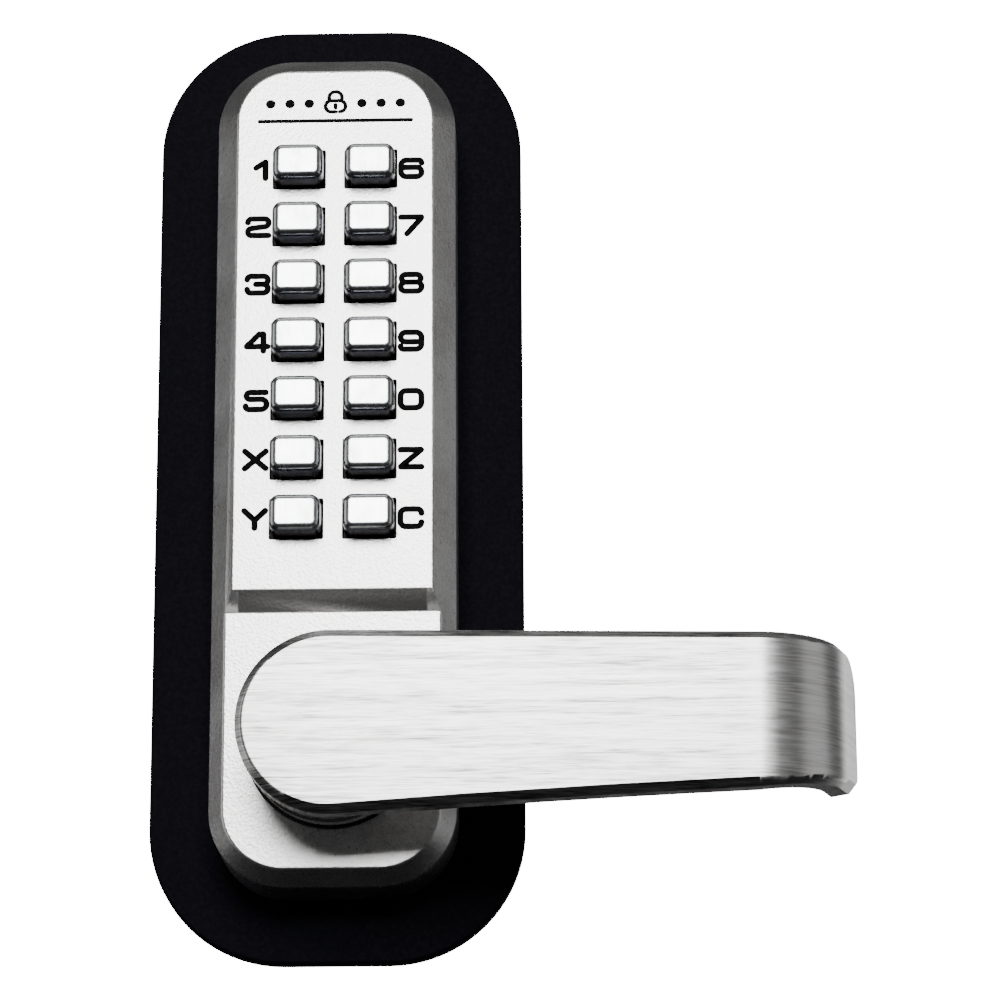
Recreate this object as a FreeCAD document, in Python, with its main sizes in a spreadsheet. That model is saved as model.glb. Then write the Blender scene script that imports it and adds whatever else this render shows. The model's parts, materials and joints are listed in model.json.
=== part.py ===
import FreeCAD, Part
import math
import os
import re
import Sketcher
from FreeCAD import Placement, Rotation, Vector

# Keypad lock, outside unit. Millimetres, X right, Z up, Y into the door.
# The origin is the centre of the backing plate's rear face, which lies on the door in the plane Y = 0.
# Levels called "front" or "rear" are heights above the door face, measured towards -Y.

doc = FreeCAD.newDocument("KeypadLock")
sheet = doc.addObject("Spreadsheet::Sheet", "Sizes")

DIMENSIONS = [
    # Backing plate
    ("plate_width", 77.4), ("plate_height", 204.2), ("plate_corner", 28.0), ("plate_front", 4.0),
    ("plate_edge", 0.8),
    # Housing
    ("case_width", 50.1), ("case_height", 178.0), ("case_corner", 15.5), ("case_front", 24.5),
    ("lower_front", 22.6), ("bevel_wide", 5.76), ("bevel_deep", 4.51), ("wall", 2.5),
    ("ledge_top", -28.6), ("ledge_bottom", -33.1), ("step_front", 18.3), ("step_half_width", 18.6),
    ("low_half_width", 20.5), ("low_end", -83.0), ("face_round", 0.8),
    ("boss_across", 17.5), ("boss_up", 76.0), ("boss_radius", 3.5),
    ("stop_radius", 1.5), ("stop_reach", 17.0),
    # Keys
    ("column_across", 7.5), ("row_first", 62.35), ("row_pitch", 12.7),
    ("window_width", 11.2), ("window_height", 8.7), ("cap_width", 10.4), ("cap_height", 7.7),
    ("cap_front", 30.5), ("cap_corner", 2.0), ("cap_edge", 1.5), ("window_corner", 0.4),
    ("flange_width", 11.9), ("flange_height", 10.1),
    ("flange_front", 21.95), ("flange_rear", 20.8), ("stem_radius", 1.8), ("stem_rear", 15.05),
    ("clear_stem_radius", 1.9), ("cone_front_radius", 2.9), ("cone_front", 20.6), ("cone_well", 2.0),
    # Key chambers
    ("base_thick", 2.0), ("base_gap", 0.1), ("cover_thick", 1.2), ("guide_front", 11.4),
    ("slide_rear", 11.5), ("slide_front", 12.7), ("channel_front", 12.8), ("block_front", 17.2),
    ("block_half_width", 13.5), ("block_top", 70.0), ("block_bottom", -22.0),
    ("pin_bore", 2.6), ("stem_bore", 2.0),
    ("pin_radius", 1.9), ("pin_head_radius", 2.5), ("pin_rear", 9.9), ("pin_head_front", 10.9),
    ("pin_front", 15.0), ("pin_hollow", 1.35), ("pin_hollow_front", 14.2),
    ("spring_radius", 1.05), ("spring_wire", 0.15), ("spring_turns", 9.0), ("spring_gap", 0.05),
    # Clear plate
    ("clear_rear", 17.3), ("clear_front", 18.1), ("clear_half_width", 13.8), ("clear_travel", 1.0),
    ("peg_radius", 1.5), ("peg_front", 19.0), ("peg_inset", 3.0),
    ("clear_spring_radius", 1.3), ("clear_spring_wire", 0.2), ("clear_spring_turns", 8.0),
    ("clear_spring_up", 4.0), ("clear_spring_level", 16.7),
    # Locking slide
    ("slide_half_width", 12.0), ("slide_top", 66.0), ("slide_bottom", -72.0),
    ("slot_radius", 2.2), ("entry_radius", 2.7), ("slot_travel", 6.4), ("slide_nose", 1.2),
    ("oblong_radius", 6.3), ("crank_slot_half", 1.9), ("crank_slot_end", 10.9),
    ("slide_spring_radius", 2.2), ("slide_spring_wire", 0.3), ("slide_spring_turns", 7.0),
    ("seat_top", -83.6), ("seat_thick", 1.5), ("seat_front", 15.0), ("seat_half_width", 5.0),
    # Lever
    ("lever_up", -60.5), ("lever_front", 46.5), ("lever_thick", 6.0), ("lever_chamfer", 1.7),
    ("lever_back_chamfer", 0.8), ("hub_across", 0.8), ("hub_up", -60.95), ("hub_radius", 18.5),
    ("bar_top_inner", -42.45), ("bar_top_outer", -43.65), ("bar_bottom_inner", -79.45),
    ("bar_bottom_outer", -74.8), ("bar_bottom_rise", 0.34),
    ("outline_end", 108.0), ("tip_bottom", -72.2), ("bend_start", 85.0), ("bend_radius", 19.0),
    ("bend_angle", 74.0), ("return_length", 9.7), ("tip_top_round", 9.0), ("tip_bottom_round", 4.0),
    ("neck_radius", 16.8), ("neck_rear", 28.65), ("shaft_radius", 9.5), ("shaft_step", 16.5),
    ("journal_radius", 7.0), ("journal_rear", 13.4), ("socket_side", 8.1), ("socket_front", 30.2),
    ("spindle_side", 8.0), ("spindle_front", 30.0), ("spindle_rear", -55.0), ("spindle_chamfer", 1.0),
    # Bushing, seal and ring
    ("seal_radius", 17.5), ("seal_front", 24.1), ("collar_radius", 17.2), ("collar_front", 28.6),
    ("collar_edge", 0.5), ("sleeve_radius", 13.0), ("sleeve_gap", 0.05), ("sleeve_rear", 16.9),
    ("groove_radius", 12.0), ("ring_radius", 15.0), ("ring_thick", 1.2), ("ring_gap", 6.0),
    # Drive cam
    ("cam_radius", 12.5), ("lug_reach", 18.0), ("lug_half_angle", 8.0), ("crank_reach", 9.0),
    ("crank_radius", 1.5), ("crank_rear", 9.8), ("lever_travel", 45.0),
    # Lever return spring
    ("coil_radius", 8.8), ("coil_wire", 0.6), ("coil_pitch", 1.4), ("coil_rear", 6.85),
    ("leg_length", 4.4), ("ferrule_radius", 7.3), ("ferrule_bore", 6.5), ("ferrule_front", 9.6),
    ("anchor_radius", 1.2), ("anchor_across", 11.2), ("anchor_front", 9.0),
    # Posts and screws
    ("post_upper", 77.0), ("post_lower", -77.0), ("post_radius", 4.5), ("post_rear", -25.0),
    ("post_head_radius", 5.5), ("post_head", 1.0), ("post_thread", 2.5), ("post_depth", 22.0),
    ("post_clearance", 0.5), ("spindle_hole", 11.0),
    ("screw_radius", 1.5), ("screw_head_radius", 2.75), ("screw_head", 1.4), ("screw_front", 14.0),
    ("screw_socket", 1.25), ("screw_socket_deep", 1.0), ("screw_play", 0.2),
]

for row, (alias, value) in enumerate(DIMENSIONS, start=1):
    sheet.set("A%d" % row, alias)
    sheet.set("B%d" % row, str(value))
    sheet.setAlias("B%d" % row, alias)
doc.recompute()

ALIASES = re.compile(r"\b(%s)\b" % "|".join(alias for alias, value in DIMENSIONS))

LEFT_KEYS = ["1", "2", "3", "4", "5", "x", "y"]
RIGHT_KEYS = ["6", "7", "8", "9", "0", "z", "c"]
KEYS = [(name, -1, row) for row, name in enumerate(LEFT_KEYS)]
KEYS += [(name, 1, row) for row, name in enumerate(RIGHT_KEYS)]
CLEAR_KEY = "c"

subparts = []


def key_place(side, row):
    """Centre of a key as two expressions, across and up."""
    return "%d * column_across" % side, "row_first - %d * row_pitch" % row


def over_sheet(expression):
    """Put the sheet's name in front of each alias."""
    return ALIASES.sub(r"Sizes.\1", expression)


def bind(thing, path, expression):
    """Bind a property to an expression over the sheet's aliases."""
    thing.setExpression(path, over_sheet(expression))


def value_of(expression):
    """Number that an expression over the aliases stands for."""
    return float(sheet.evalExpression(over_sheet(expression)))


def new_body(label):
    body = doc.addObject("PartDesign::Body", label)
    body.Label = label
    subparts.append(body)
    return body


def new_sketch(body, level, role="XZ_Plane"):
    """Sketch parallel to an origin plane; on XZ_Plane the level is the height above the door."""
    plane = [item for item in body.Origin.OriginFeatures if item.Role == role][0]
    sketch = body.newObject("Sketcher::SketchObject", body.Name + "_sketch")
    sketch.AttachmentSupport = [(plane, "")]
    sketch.MapMode = "FlatFace"
    bind(sketch, "AttachmentOffset.Base.z", level)
    return sketch


def dimension(sketch, kind, places, expression):
    """Add one driving dimension and bind it. Directed ones may be negative."""
    start = value_of(expression)
    if kind == "Angle":
        start = math.radians(start)
    index = sketch.addConstraint(Sketcher.Constraint(kind, *places, start))
    bind(sketch, "Constraints[%d]" % index, expression)


def circle(sketch, across, up, radius):
    centre = Vector(value_of(across), value_of(up), 0)
    index = sketch.addGeometry(Part.Circle(centre, Vector(0, 0, 1), value_of(radius)))
    dimension(sketch, "Radius", (index,), radius)
    dimension(sketch, "DistanceX", (-1, 1, index, 3), across)
    dimension(sketch, "DistanceY", (-1, 1, index, 3), up)
    return index


def place_point(sketch, geometry, corner, across, up):
    dimension(sketch, "DistanceX", (-1, 1, geometry, corner), across)
    dimension(sketch, "DistanceY", (-1, 1, geometry, corner), up)


def polygon(sketch, corners):
    """Closed outline through corners, each a pair of expressions."""
    points = [Vector(value_of(across), value_of(up), 0) for across, up in corners]
    first = None
    count = len(points)
    for number in range(count):
        line = Part.LineSegment(points[number], points[(number + 1) % count])
        index = sketch.addGeometry(line)
        first = index if first is None else first
    for number in range(count):
        following = first + (number + 1) % count
        sketch.addConstraint(Sketcher.Constraint("Coincident", first + number, 2, following, 1))
    for number, (across, up) in enumerate(corners):
        place_point(sketch, first + number, 1, across, up)


def rectangle(sketch, left, right, bottom, top):
    polygon(sketch, [(left, bottom), (right, bottom), (right, top), (left, top)])


def rounded_rectangle(sketch, across, up, half_width, half_height, radius):
    """Rectangle about a centre with tangent round corners."""
    x, y = value_of(across), value_of(up)
    w, h, r = value_of(half_width), value_of(half_height), value_of(radius)
    starts = [(x - w + r, y - h), (x + w, y - h + r), (x + w - r, y + h), (x - w, y + h - r)]
    ends = [(x + w - r, y - h), (x + w, y + h - r), (x - w + r, y + h), (x - w, y - h + r)]
    centres = [(x + w - r, y - h + r), (x + w - r, y + h - r), (x - w + r, y + h - r), (x - w + r, y - h + r)]
    lines = []
    arcs = []
    for side in range(4):
        line = Part.LineSegment(Vector(*starts[side], 0), Vector(*ends[side], 0))
        lines.append(sketch.addGeometry(line))
        full = Part.Circle(Vector(*centres[side], 0), Vector(0, 0, 1), r)
        turn = (side - 1) * math.pi / 2
        arcs.append(sketch.addGeometry(Part.ArcOfCircle(full, turn, turn + math.pi / 2)))
    for side in range(4):
        sketch.addConstraint(Sketcher.Constraint("Tangent", lines[side], 2, arcs[side], 1))
        sketch.addConstraint(Sketcher.Constraint("Tangent", arcs[side], 2, lines[(side + 1) % 4], 1))
    for kind, line in zip(("Horizontal", "Vertical", "Horizontal", "Vertical"), lines):
        sketch.addConstraint(Sketcher.Constraint(kind, line))
    for arc in arcs[1:]:
        sketch.addConstraint(Sketcher.Constraint("Equal", arcs[0], arc))
    dimension(sketch, "Radius", (arcs[0],), radius)
    dimension(sketch, "DistanceY", (-1, 1, lines[0], 1), "%s - (%s)" % (up, half_height))
    dimension(sketch, "DistanceY", (-1, 1, lines[2], 1), "%s + %s" % (up, half_height))
    dimension(sketch, "DistanceX", (-1, 1, lines[1], 1), "%s + %s" % (across, half_width))
    dimension(sketch, "DistanceX", (-1, 1, lines[3], 1), "%s - (%s)" % (across, half_width))


def pad(sketch, length):
    """Grow towards the front of the lock (away from the door)."""
    feature = sketch.getParentGeoFeatureGroup().newObject("PartDesign::Pad", "Pad")
    feature.Profile = sketch
    bind(feature, "Length", length)
    doc.recompute()
    return feature


def pocket(sketch, length):
    """Cut towards the front of the lock."""
    feature = sketch.getParentGeoFeatureGroup().newObject("PartDesign::Pocket", "Pocket")
    feature.Profile = sketch
    feature.Reversed = True
    bind(feature, "Length", length)
    doc.recompute()
    return feature


def repeat_for_keys(body, feature, sketch):
    """Repeat the first left key's cut for both columns and all rows."""
    grid = body.newObject("PartDesign::MultiTransform", "KeyGrid")
    grid.Originals = [feature]
    down = body.newObject("PartDesign::LinearPattern", "Rows")
    down.Direction = (sketch, ["V_Axis"])
    down.Reversed = True
    down.Occurrences = len(LEFT_KEYS)
    bind(down, "Length", "row_pitch * %d" % (len(LEFT_KEYS) - 1))
    over = body.newObject("PartDesign::LinearPattern", "Columns")
    over.Direction = (sketch, ["H_Axis"])
    over.Occurrences = 2
    bind(over, "Length", "column_across * 2")
    grid.Transformations = [down, over]
    body.Tip = grid
    doc.recompute()


def dress(body, kind, edges, **settings):
    """Fillet or chamfer the named edges of the body's newest feature."""
    base = body.Tip
    feature = body.newObject("PartDesign::" + kind, kind)
    feature.Base = (base, edges)
    for path, expression in settings.items():
        bind(feature, path, expression)
    return feature


def edges_where(body, test):
    """Names of the edges whose middle point and edge pass a test."""
    names = []
    for number, edge in enumerate(body.Tip.Shape.Edges, start=1):
        middle = edge.valueAt((edge.FirstParameter + edge.LastParameter) / 2)
        if test(middle, edge):
            names.append("Edge%d" % number)
    return names


def at_level(level):
    """Test for edges that lie wholly at a height above the door."""
    height = value_of(level)
    return lambda middle, edge: max(abs(edge.BoundBox.YMin + height), abs(edge.BoundBox.YMax + height)) < 1e-4


def make_backing_plate():
    body = new_body("backing_plate")
    outline = new_sketch(body, "0")
    rounded_rectangle(outline, "0", "0", "plate_width / 2", "plate_height / 2", "plate_corner")
    circle(outline, "0", "lever_up", "spindle_hole")
    for up in ("post_upper", "post_lower"):
        circle(outline, "0", up, "post_radius + post_clearance")
    pad(outline, "plate_front")
    rim = edges_where(body, lambda middle, edge: at_level("plate_front")(middle, edge) and on_rim(middle))
    dress(body, "Fillet", rim, Radius="plate_edge")


def on_rim(point):
    """True on the backing plate's outer edge, away from its holes."""
    across = value_of("plate_width / 2 - plate_corner")
    up = value_of("plate_height / 2 - plate_corner")
    beyond = Vector(max(abs(point.x) - across, 0), 0, max(abs(point.z) - up, 0))
    return beyond.Length > value_of("plate_corner") - 1e-3


def make_front_housing():
    body = new_body("front_housing")
    outline = new_sketch(body, "plate_front")
    rounded_rectangle(outline, "0", "0", "case_width / 2", "case_height / 2", "case_corner")
    pad(outline, "case_front - plate_front")
    front = edges_where(body, at_level("case_front"))
    bevel = dress(body, "Chamfer", front)
    bevel.ChamferType = "Two distances"
    bind(bevel, "Size", "bevel_wide")
    bind(bevel, "Size2", "bevel_deep")
    doc.recompute()

    # The lower part of the face steps back behind a sloped ledge.
    profile = new_sketch(body, "0", "YZ_Plane")
    beyond = "-case_front - wall"
    below = "-case_height / 2 - wall"
    corners = [("-case_front", "ledge_top"), ("-lower_front", "ledge_bottom"), ("-lower_front", below),
               (beyond, below), (beyond, "ledge_top")]
    polygon(profile, corners)
    step = body.newObject("PartDesign::Pocket", "Pocket")
    step.Profile = profile
    step.Midplane = True
    bind(step, "Length", "case_width * 2")
    doc.recompute()

    # Hollow: a full-width space, then deeper ones behind the two faces.
    hollow = new_sketch(body, "plate_front")
    rounded_rectangle(hollow, "0", "0", "case_width / 2 - wall", "case_height / 2 - wall",
                      "case_corner - wall")
    pocket(hollow, "step_front - plate_front")
    upper = new_sketch(body, "plate_front")
    upper_top = "(case_height / 2 - wall - bevel_deep)"
    upper_bottom = "(ledge_top + wall)"
    rounded_rectangle(upper, "0", halfway(upper_top, upper_bottom), "step_half_width",
                      "(%s - %s) / 2" % (upper_top, upper_bottom), "pin_head_radius")
    pocket(upper, "case_front - wall - plate_front")
    lower = new_sketch(body, "plate_front")
    rounded_rectangle(lower, "0", halfway("ledge_top", "low_end"), "low_half_width",
                      "(ledge_top - low_end) / 2", "pin_head_radius")
    pocket(lower, "lower_front - wall - plate_front")

    # Bosses for the case screws and the two stops for the lever's cam.
    boss_rear = "plate_front + base_thick"
    bosses = new_sketch(body, boss_rear)
    for across in ("boss_across", "-boss_across"):
        for up in ("boss_up", "-boss_up"):
            circle(bosses, across, up, "boss_radius")
    pad(bosses, "step_front + screw_radius - (%s)" % boss_rear)
    threads = new_sketch(body, boss_rear)
    for across in ("boss_across", "-boss_across"):
        for up in ("boss_up", "-boss_up"):
            circle(threads, across, up, "screw_radius")
    pocket(threads, "screw_front - (%s)" % boss_rear)
    stops = new_sketch(body, "journal_rear")
    for angle in stop_angles():
        across = "-stop_reach * cos(%s)" % angle
        up = "lever_up + stop_reach * sin(%s)" % angle
        circle(stops, across, up, "stop_radius")
    pad(stops, "lower_front - screw_radius - journal_rear")

    windows = new_sketch(body, "plate_front")
    rounded_rectangle(windows, "-column_across", "row_first", "window_width / 2", "window_height / 2",
                      "window_corner")
    repeat_for_keys(body, pocket(windows, "case_front"), windows)
    opening = new_sketch(body, "plate_front")
    circle(opening, "0", "lever_up", "sleeve_radius + sleeve_gap")
    pocket(opening, "case_front")

    soften = edges_where(body, is_face_edge)
    dress(body, "Fillet", soften, Radius="face_round")


def halfway(top, bottom):
    return "(%s + %s) / 2" % (top, bottom)


def stop_angles():
    """Angles of the cam's two stops from the -X direction, with a little play at each end."""
    beside = "(lug_half_angle * 1 deg + asin((stop_radius + base_gap) / stop_reach))"
    return "-%s" % beside, "(lever_travel * 1 deg + %s)" % beside


def is_face_edge(middle, edge):
    """Outer edges where the bevels meet the two faces."""
    half = value_of("case_width / 2 - bevel_wide") - 0.5
    top = value_of("case_height / 2 - bevel_wide") - 0.5
    upper = abs(edge.BoundBox.YMin + value_of("case_front")) < 1e-4
    lower = abs(edge.BoundBox.YMin + value_of("lower_front")) < 1e-4
    flat = edge.BoundBox.YLength < 1e-4
    outside = abs(middle.x) > half or abs(middle.z) > top
    ledge = value_of("ledge_bottom") - 0.1 < middle.z < value_of("ledge_top") + 0.1 and abs(middle.x) < 1
    return flat and (upper or lower) and (outside or ledge)


def make_base_plate():
    body = new_body("base_plate")
    outline = new_sketch(body, "plate_front")
    inset = "wall - base_gap"
    rounded_rectangle(outline, "0", "0", "case_width / 2 - %s" % inset, "case_height / 2 - %s" % inset,
                      "case_corner - %s" % inset)
    circle(outline, "0", "lever_up", "ferrule_bore")
    for up in ("post_upper", "post_lower"):
        circle(outline, "0", up, "post_radius")
    for across in ("boss_across", "-boss_across"):
        for up in ("boss_up", "-boss_up"):
            circle(outline, across, up, "screw_radius + screw_play")
    pad(outline, "base_thick")
    heads = new_sketch(body, "plate_front")
    for across in ("boss_across", "-boss_across"):
        for up in ("boss_up", "-boss_up"):
            circle(heads, across, up, "screw_head_radius + screw_play")
    pocket(heads, "screw_head")
    ferrule = new_sketch(body, "plate_front + base_thick")
    circle(ferrule, "0", "lever_up", "ferrule_radius")
    circle(ferrule, "0", "lever_up", "ferrule_bore")
    pad(ferrule, "ferrule_front - plate_front - base_thick")
    anchor = new_sketch(body, "plate_front + base_thick")
    circle(anchor, "-anchor_across", "lever_up + coil_wire + anchor_radius", "anchor_radius")
    pad(anchor, "anchor_front - plate_front - base_thick")
    seat = new_sketch(body, "plate_front + base_thick")
    rectangle(seat, "-seat_half_width", "seat_half_width", "seat_top - seat_thick", "seat_top")
    pad(seat, "seat_front - plate_front - base_thick")


def block_outline(sketch):
    rectangle(sketch, "-block_half_width", "block_half_width", "block_bottom", "block_top")


def make_chamber_cover():
    body = new_body("chamber_cover")
    outline = new_sketch(body, "plate_front + base_thick")
    block_outline(outline)
    pad(outline, "cover_thick")


def make_spring_guide():
    body = new_body("spring_guide")
    rear = "plate_front + base_thick + cover_thick"
    outline = new_sketch(body, rear)
    block_outline(outline)
    for name, side, row in KEYS:
        across, up = key_place(side, row)
        circle(outline, across, up, "pin_bore")
    pad(outline, "guide_front - (%s)" % rear)


def make_chamber_block():
    body = new_body("chamber_block")
    outline = new_sketch(body, "guide_front")
    block_outline(outline)
    for name, side, row in KEYS:
        across, up = key_place(side, row)
        circle(outline, across, up, "stem_bore")
    pad(outline, "block_front - guide_front")
    channel = new_sketch(body, "guide_front")
    beyond = "block_bottom - wall"
    rectangle(channel, "-slide_half_width - base_gap", "slide_half_width + base_gap", beyond,
              "slide_top + base_gap")
    pocket(channel, "channel_front - guide_front")
    # The clear key's cone sinks into a well as the key is pressed.
    well = new_sketch(body, "block_front - cone_well")
    across, up = [key_place(side, row) for name, side, row in KEYS if name == CLEAR_KEY][0]
    circle(well, across, up, "cone_front_radius + base_gap")
    pocket(well, "cone_well")
    pegs = new_sketch(body, "block_front")
    for up in ("block_top - peg_inset", "block_bottom + peg_inset"):
        circle(pegs, "0", up, "peg_radius")
    pad(pegs, "peg_front - block_front")


def make_clear_plate():
    body = new_body("clear_plate")
    outline = new_sketch(body, "clear_rear")
    rectangle(outline, "-clear_half_width", "clear_half_width", "block_bottom", "block_top")
    for up in ("block_top - peg_inset", "block_bottom + peg_inset"):
        rectangle(outline, "-peg_radius - clear_travel - base_gap", "peg_radius + base_gap",
                  "%s - peg_radius - base_gap" % up, "%s + peg_radius + base_gap" % up)
    pad(outline, "clear_front - clear_rear")
    # Each stem has room for the plate's travel; the clear key's hole is bounded by its cone.
    holes = new_sketch(body, "clear_rear")
    half = "(stem_radius + screw_play)"
    rectangle(holes, "-column_across - clear_travel - " + half, "-column_across + stem_radius + screw_play",
              "row_first - " + half, "row_first + " + half)
    repeat_for_keys(body, pocket(holes, "clear_front - clear_rear"), holes)
    wedge = new_sketch(body, "clear_rear")
    last_row = "row_first - %d * row_pitch" % (len(RIGHT_KEYS) - 1)
    half = "(cone_front_radius + base_gap)"
    rectangle(wedge, "column_across - clear_travel - " + half, "column_across + clear_stem_radius + sleeve_gap",
              "%s - %s" % (last_row, half), "%s + %s" % (last_row, half))
    pocket(wedge, "clear_front - clear_rear")


def make_locking_slide():
    body = new_body("locking_slide")
    outline = new_sketch(body, "slide_rear")
    rectangle(outline, "-slide_half_width", "slide_half_width", "slide_bottom", "slide_top")
    pad(outline, "slide_front - slide_rear")
    # Each pin passes a wide entry at rest; a narrower slot above it lets the slide come down.
    entries = new_sketch(body, "slide_rear")
    for name, side, row in KEYS:
        across, up = key_place(side, row)
        circle(entries, across, up, "entry_radius")
    pocket(entries, "slide_front - slide_rear")
    slots = new_sketch(body, "slide_rear")
    rounded_rectangle(slots, "-column_across", "row_first + slot_travel / 2", "slot_radius",
                      "slot_travel / 2 + slot_radius", "slot_radius - sleeve_gap")
    repeat_for_keys(body, pocket(slots, "slide_front - slide_rear"), slots)
    oblong = new_sketch(body, "slide_rear")
    rounded_rectangle(oblong, "0", "lever_up + slot_travel / 2", "oblong_radius",
                      "slot_travel / 2 + oblong_radius", "oblong_radius - sleeve_gap")
    pocket(oblong, "slide_front - slide_rear")
    crank = new_sketch(body, "slide_rear")
    rectangle(crank, "0", "crank_slot_end", "lever_up - crank_slot_half", "lever_up + crank_slot_half")
    pocket(crank, "slide_front - slide_rear")
    nose = new_sketch(body, "slide_rear")
    rectangle(nose, "-slide_nose", "slide_nose", "slide_bottom - slide_nose", "slide_bottom + slide_nose")
    pad(nose, "slide_front - slide_rear")


def make_key(name, side, row):
    body = new_body("key_" + name)
    across, up = key_place(side, row)
    cap = new_sketch(body, "flange_rear")
    rounded_rectangle(cap, across, up, "cap_width / 2", "cap_height / 2", "cap_corner")
    pad(cap, "cap_front - flange_rear")
    rim = edges_where(body, at_level("cap_front"))
    dress(body, "Fillet", rim, Radius="cap_edge")
    flange = new_sketch(body, "flange_rear")
    rectangle(flange, "%s - flange_width / 2" % across, "%s + flange_width / 2" % across,
              "%s - flange_height / 2" % up, "%s + flange_height / 2" % up)
    pad(flange, "flange_front - flange_rear")
    stem = new_sketch(body, "stem_rear")
    circle(stem, across, up, "clear_stem_radius" if name == CLEAR_KEY else "stem_radius")
    pad(stem, "flange_rear - stem_rear")
    if name == CLEAR_KEY:
        add_cone(body, across, up)


def add_cone(body, across, up):
    """Cone on the clear key's stem that wedges the clear plate aside."""
    cone = body.newObject("PartDesign::AdditiveCone", "Cone")
    plane = [item for item in body.Origin.OriginFeatures if item.Role == "XZ_Plane"][0]
    cone.AttachmentSupport = [(plane, "")]
    cone.MapMode = "FlatFace"
    bind(cone, "AttachmentOffset.Base.x", across)
    bind(cone, "AttachmentOffset.Base.y", up)
    bind(cone, "AttachmentOffset.Base.z", "clear_front")
    bind(cone, "Radius1", "clear_stem_radius")
    bind(cone, "Radius2", "cone_front_radius")
    bind(cone, "Height", "cone_front - clear_front")


def make_code_pin(name, side, row):
    body = new_body("pin_" + name)
    across, up = key_place(side, row)
    stem = new_sketch(body, "pin_rear")
    circle(stem, across, up, "pin_radius")
    pad(stem, "pin_front - pin_rear")
    head = new_sketch(body, "pin_rear")
    circle(head, across, up, "pin_head_radius")
    pad(head, "pin_head_front - pin_rear")
    hollow = new_sketch(body, "pin_rear")
    circle(hollow, across, up, "pin_hollow")
    pocket(hollow, "pin_hollow_front - pin_rear")


def make_coil(label, across, up, level, radius, wire, turns, length, lengthwise):
    """Compression spring of a given length between its flat seats.

    The coil starts at (across, -level, up) and runs along the vector lengthwise.
    """
    spine = doc.addObject("Part::Helix", label + "_spine")
    bind(spine, "Radius", radius)
    bind(spine, "Pitch", "(%s - 2 * %s - 2 * spring_gap) / (%s)" % (length, wire, turns))
    bind(spine, "Height", "%s - 2 * %s - 2 * spring_gap" % (length, wire))
    ring = doc.addObject("Part::Circle", label + "_wire")
    bind(ring, "Radius", wire)
    bind(ring, "Placement.Base.x", radius)
    ring.Placement.Rotation = Rotation(Vector(1, 0, 0), 90)
    coil = doc.addObject("Part::Sweep", label)
    coil.Label = label
    coil.Sections = [ring]
    coil.Spine = (spine, [])
    coil.Solid = True
    coil.Frenet = True
    start = Vector(value_of(across), -value_of(level), value_of(up))
    turn = Rotation(Vector(0, 0, 1), lengthwise)
    coil.Placement = Placement(start + lengthwise * value_of("%s + spring_gap" % wire), turn)
    subparts.append(coil)


def make_springs():
    seat = "plate_front + base_thick + cover_thick"
    forward = Vector(0, -1, 0)
    for name, side, row in KEYS:
        across, up = key_place(side, row)
        front = "stem_rear" if name == CLEAR_KEY else "pin_hollow_front"
        length = "(%s - (%s))" % (front, seat)
        make_coil("spring_" + name, across, up, seat, "spring_radius", "spring_wire", "spring_turns", length,
                  forward)
    make_coil("slide_spring", "0", "slide_bottom", "(slide_rear + slide_front) / 2", "slide_spring_radius",
              "slide_spring_wire", "slide_spring_turns", "(slide_bottom - seat_top)", Vector(0, 0, -1))
    make_coil("clear_spring", "clear_half_width", "clear_spring_up", "clear_spring_level",
              "clear_spring_radius", "clear_spring_wire", "clear_spring_turns",
              "(case_width / 2 - wall - clear_half_width)", Vector(1, 0, 0))


def make_lever_return_spring():
    """Torsion spring round the ferrule: one leg on a peg, the other under the crank pin."""
    label = "lever_return_spring"
    below = "asin((crank_radius + coil_wire + sleeve_gap) / coil_radius)"
    turns = "(2.5 - %s / 360 deg)" % below
    spine = doc.addObject("Part::Helix", label + "_spine")
    bind(spine, "Radius", "coil_radius")
    bind(spine, "Pitch", "coil_pitch")
    bind(spine, "Height", "coil_pitch * %s" % turns)
    ring = doc.addObject("Part::Circle", label + "_wire")
    bind(ring, "Radius", "coil_wire")
    bind(ring, "Placement.Base.x", "coil_radius")
    ring.Placement.Rotation = Rotation(Vector(1, 0, 0), 90)
    coil = doc.addObject("Part::Sweep", label + "_coil")
    coil.Sections = [ring]
    coil.Spine = (spine, [])
    coil.Solid = True
    coil.Frenet = True
    pieces = [coil]
    # In the coil's own axes the start lies on +X and the end just short of -X.
    ends = [("start", "coil_radius", "0", "0", 0),
            ("end", "-coil_radius * cos(%s)" % below, "coil_radius * sin(%s)" % below,
             "coil_pitch * %s" % turns, 180)]
    for name, across, up, along, heading in ends:
        elbow = doc.addObject("Part::Sphere", "%s_%s_elbow" % (label, name))
        bind(elbow, "Radius", "coil_wire")
        leg = doc.addObject("Part::Cylinder", "%s_%s_leg" % (label, name))
        bind(leg, "Radius", "coil_wire")
        bind(leg, "Height", "leg_length")
        leg.Placement.Rotation = Rotation(Vector(0, 0, 1), heading).multiply(Rotation(Vector(0, 1, 0), 90))
        for piece in (elbow, leg):
            bind(piece, "Placement.Base.x", across)
            bind(piece, "Placement.Base.y", up)
            bind(piece, "Placement.Base.z", along)
            pieces.append(piece)
    spring = doc.addObject("Part::MultiFuse", label)
    spring.Label = label
    spring.Shapes = pieces
    start = Vector(0, -value_of("coil_rear"), value_of("lever_up"))
    turned = Rotation(Vector(1, 0, 0), 90).multiply(Rotation(Vector(0, 0, 1), 180))
    spring.Placement = Placement(start, turned)
    subparts.append(spring)


def bend_points():
    """Centre of the lever's bend and the directions along and out of its return, in the plane of X and Y."""
    centre = Vector(value_of("bend_start"), value_of("bend_radius - lever_front"), 0)
    turn = math.radians(value_of("bend_angle"))
    along = Vector(math.cos(turn), math.sin(turn), 0)
    outward = Vector(math.sin(turn), -math.cos(turn), 0)
    return centre, along, outward


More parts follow.
